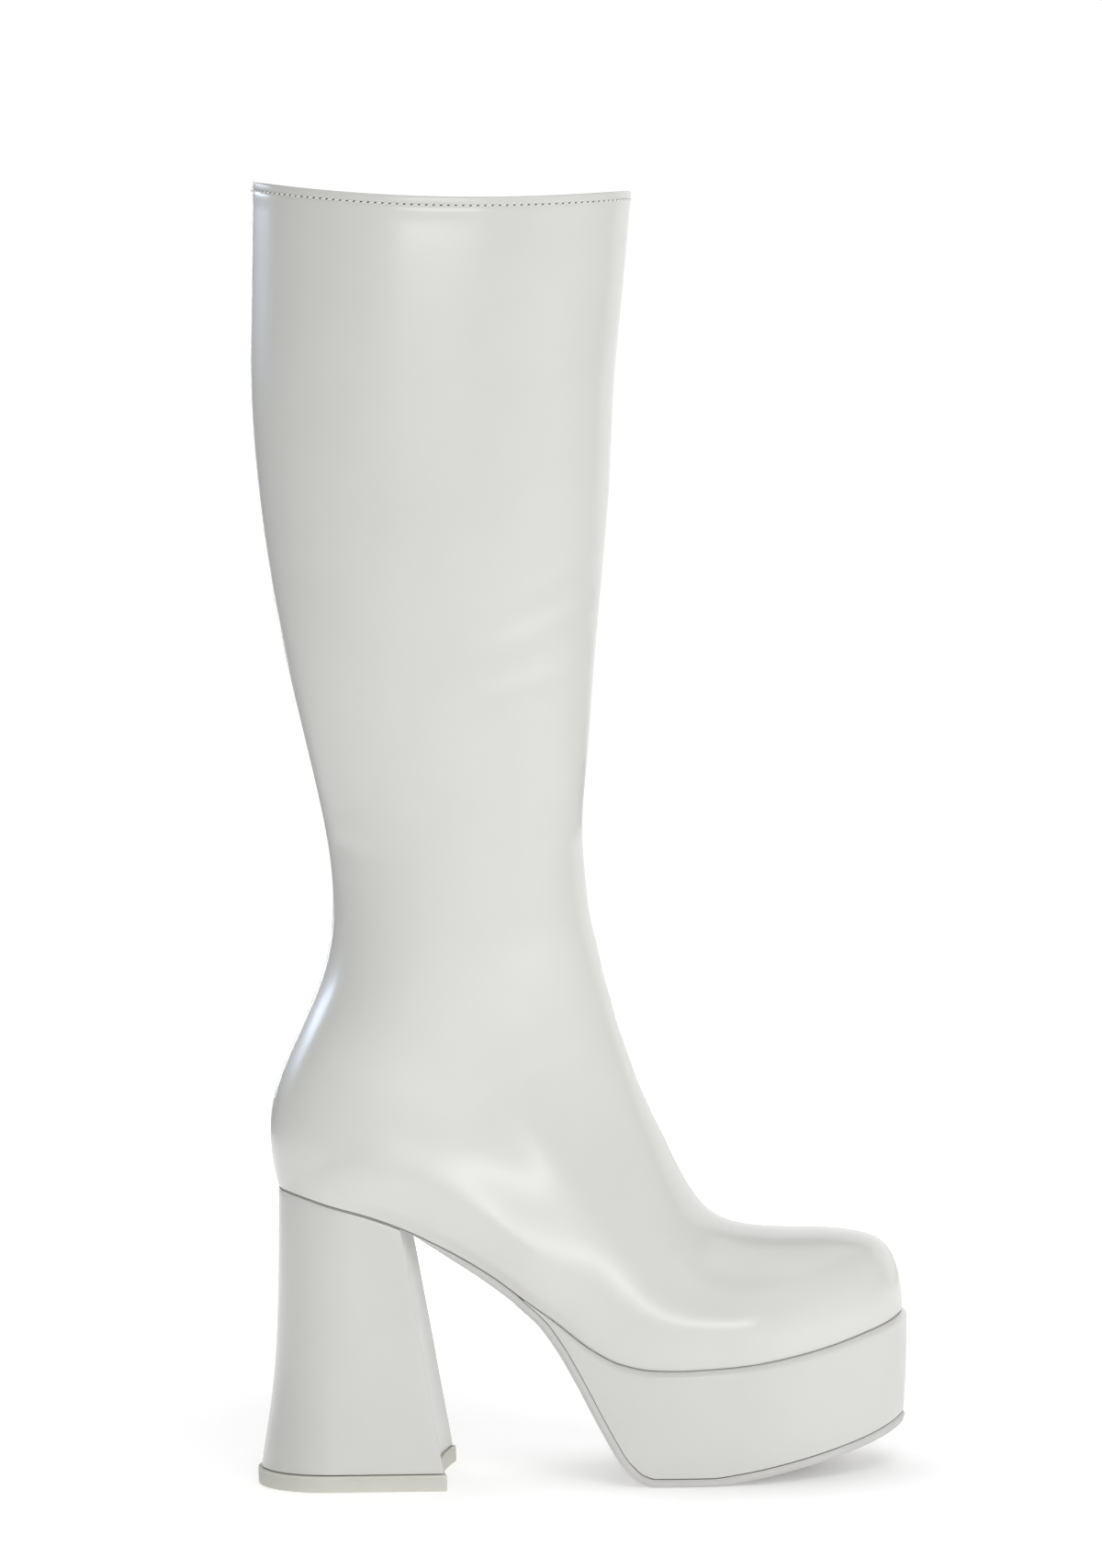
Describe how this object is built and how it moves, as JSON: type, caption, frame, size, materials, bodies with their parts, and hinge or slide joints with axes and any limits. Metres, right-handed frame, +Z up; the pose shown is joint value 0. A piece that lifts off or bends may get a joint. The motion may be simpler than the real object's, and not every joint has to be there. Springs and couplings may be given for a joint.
{
  "type": "go go boot",
  "caption": "Knee-high white go go boot for the right foot: plain leg, rounded toe, forefoot platform and flared block heel.",
  "frame": {"origin": "centre of the heel's tread, on the floor that the boot stands on", "axes": "+X towards the toe, +Z up along the leg, +Y to the wearer's left, the boot's inner side"},
  "size_m": [0.236, 0.0912, 0.469],
  "materials": {
    "upper_leather": "white, smooth, coated, satin gloss",
    "sock_lining": "off-white, matt",
    "platform_wrap": "white, smooth, coated, satin gloss",
    "outsole_rubber": "light grey, matt",
    "heel_wrap": "white, smooth, coated, satin gloss",
    "tip_rubber": "warm light grey, matt"
  },
  "bodies": {
    "root": {"upper": "upper_leather", "insole": "sock_lining", "platform": "platform_wrap", "outsole": "outsole_rubber", "heel": "heel_wrap", "heel_tip": "tip_rubber"}
  },
  "joints": []
}
